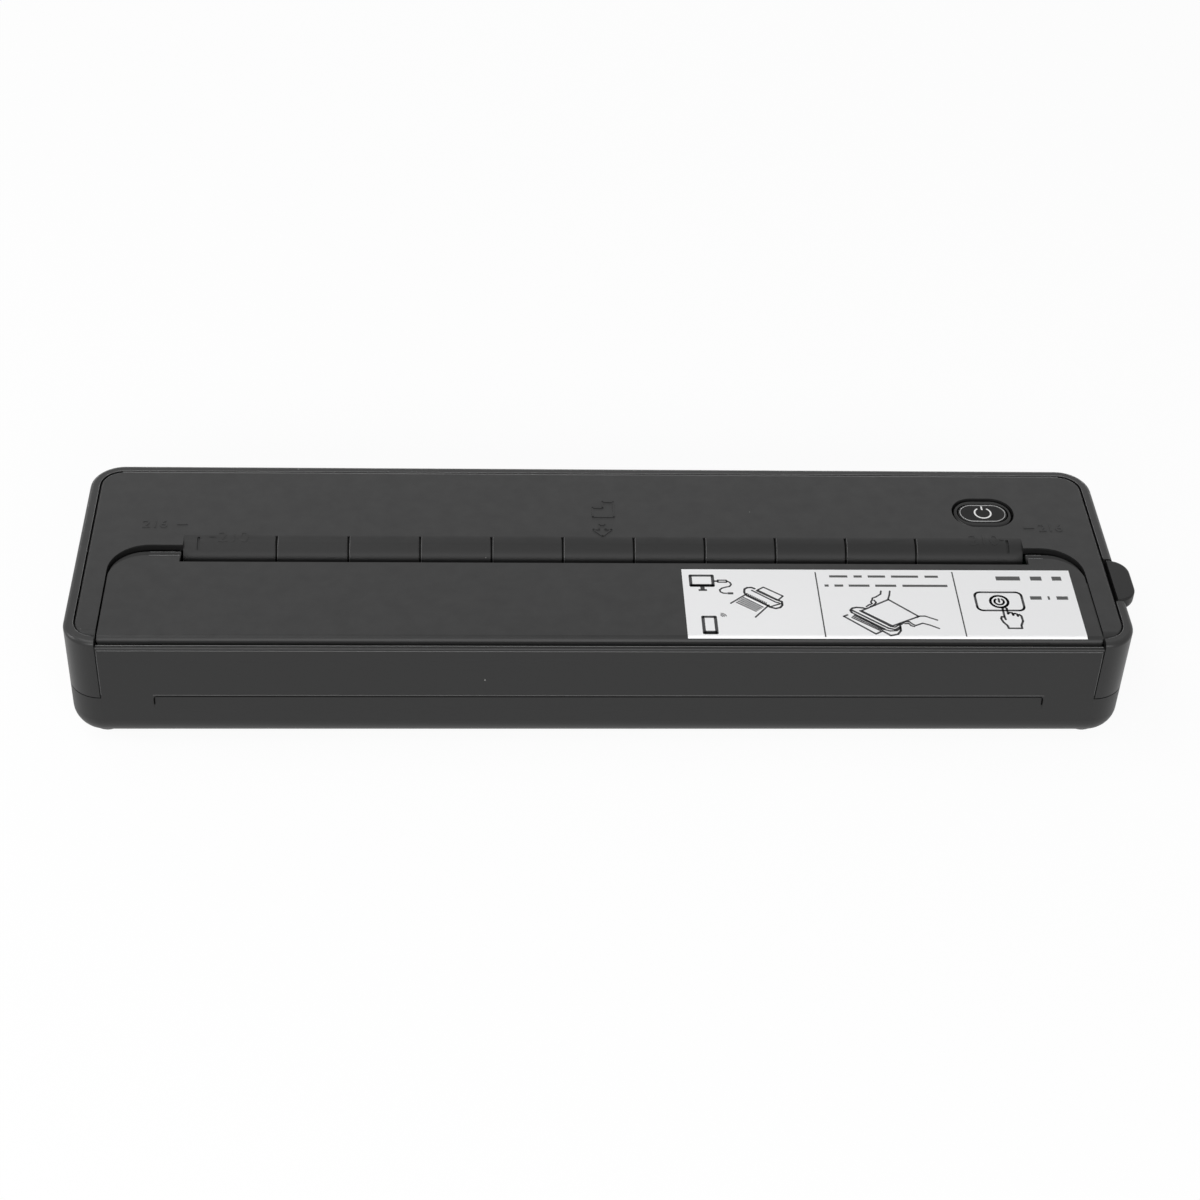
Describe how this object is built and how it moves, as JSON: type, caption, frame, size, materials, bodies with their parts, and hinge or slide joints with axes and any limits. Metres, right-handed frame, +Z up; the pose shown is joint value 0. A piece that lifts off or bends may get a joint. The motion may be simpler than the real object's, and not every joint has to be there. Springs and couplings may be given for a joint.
{
  "type": "a4 portable thermal printer",
  "caption": "Slim portable thermal printer for A4 sheets: a flip-up cover carries the platen roller over a sprung print head, with a side release lever and a power button.",
  "frame": {"origin": "on the table under the middle of the whole box, the lever's thumb piece included, which is 1.65 mm right of the shells' middle", "axes": "+X to the right along the paper's width, +Y to the rear, +Z up"},
  "size_m": [0.2704, 0.072, 0.0336],
  "materials": {
    "gloss_shell": "gloss black",
    "matte_shell": "fine matt black",
    "inner_plastic": "matt black",
    "sticker": "printed film",
    "steel": "ground",
    "spring_steel": "drawn wire",
    "rubber": "matt",
    "gear_plastic": "moulded",
    "brass": "turned",
    "ceramic": "glazed",
    "aluminium": "extruded",
    "motor_case": "drawn",
    "board_resin": "solder mask",
    "chip_black": "matt",
    "cell_wrap": "shrink film",
    "cable_film": "film"
  },
  "bodies": {
    "body": {"base_shell": "matte_shell", "upper_shell": "gloss_shell", "top_deck": "matte_shell", "hinge_pins": "steel", "chassis_frame": "inner_plastic", "entry_guide": "inner_plastic", "exit_guide": "inner_plastic", "gear_posts": "steel", "stepper_motor": "motor_case", "motor_screws": "steel", "head_springs": "spring_steel", "head_ribbon": "cable_film", "paper_sensor": "chip_black", "lever_pin": "steel", "lever_spring": "spring_steel", "button_bezel": "gloss_shell", "tact_switch": "steel", "main_board": "board_resin", "board_components": "chip_black", "board_screws": "steel", "usb_socket": "steel", "battery_cells": "cell_wrap", "battery_cradle": "inner_plastic", "rubber_feet": "rubber", "body_screws": "steel", "chassis_screws": "steel"},
    "cover": {"flip_cover": "matte_shell", "cover_liner": "inner_plastic", "instruction_label": "sticker", "platen_bush_left": "gear_plastic", "platen_bush_right": "gear_plastic"},
    "platen": {"platen_sleeve": "rubber", "platen_shaft": "steel", "platen_gear": "gear_plastic"},
    "idler": {"idler_gear": "gear_plastic"},
    "compound": {"compound_gear": "gear_plastic"},
    "pinion": {"motor_pinion": "brass"},
    "head": {"print_head_ceramic": "ceramic", "head_heatsink": "aluminium", "head_pivot_pins": "steel"},
    "lever": {"release_lever": "gloss_shell"},
    "button": {"power_button": "gloss_shell", "switch_plunger": "chip_black"}
  },
  "joints": [
    {"name": "cover_hinge", "type": "hinge", "parent": "body", "child": "cover", "pos_m": [-0.00165, -0.0298, 0.03], "axis": [1, 0, 0], "range_deg": [0, 100]},
    {"name": "platen_spin", "type": "hinge", "parent": "cover", "child": "platen", "pos_m": [-0.00165, -0.016, 0.0258], "axis": [1, 0, 0], "continuous": true},
    {"name": "idler_spin", "type": "hinge", "parent": "body", "child": "idler", "pos_m": [-0.12125, -0.01964, 0.01384], "axis": [1, 0, 0], "continuous": true},
    {"name": "compound_spin", "type": "hinge", "parent": "body", "child": "compound", "pos_m": [-0.12465, -0.00875, 0.01537], "axis": [1, 0, 0], "continuous": true},
    {"name": "pinion_spin", "type": "hinge", "parent": "body", "child": "pinion", "pos_m": [-0.12465, 0.00525, 0.01537], "axis": [1, 0, 0], "continuous": true},
    {"name": "head_tilt", "type": "hinge", "parent": "body", "child": "head", "pos_m": [-0.00165, -0.011, 0.0165], "axis": [1, 0, 0], "range_deg": [0, 2], "stiffness_Nm_per_rad": 0.05, "springref_deg": -17.19, "deforming": ["head_springs"]},
    {"name": "lever_hinge", "type": "hinge", "parent": "body", "child": "lever", "pos_m": [0.12655, -0.0105, 0.0294], "axis": [0, -1, 0], "range_deg": [0, 8], "stiffness_Nm_per_rad": 0.02, "springref_deg": -17.19, "deforming": ["lever_spring"]},
    {"name": "button_press", "type": "slide", "parent": "body", "child": "button", "axis": [0, 0, -1], "range_m": [0, 0.0004], "stiffness_N_per_m": 400, "springref_m": -0.002}
  ],
  "couplings": [
    {"joint": "idler_spin", "follows": "platen_spin", "ratio": -0.66667},
    {"joint": "compound_spin", "follows": "platen_spin", "ratio": 1.4286},
    {"joint": "pinion_spin", "follows": "platen_spin", "ratio": -5.2381}
  ]
}
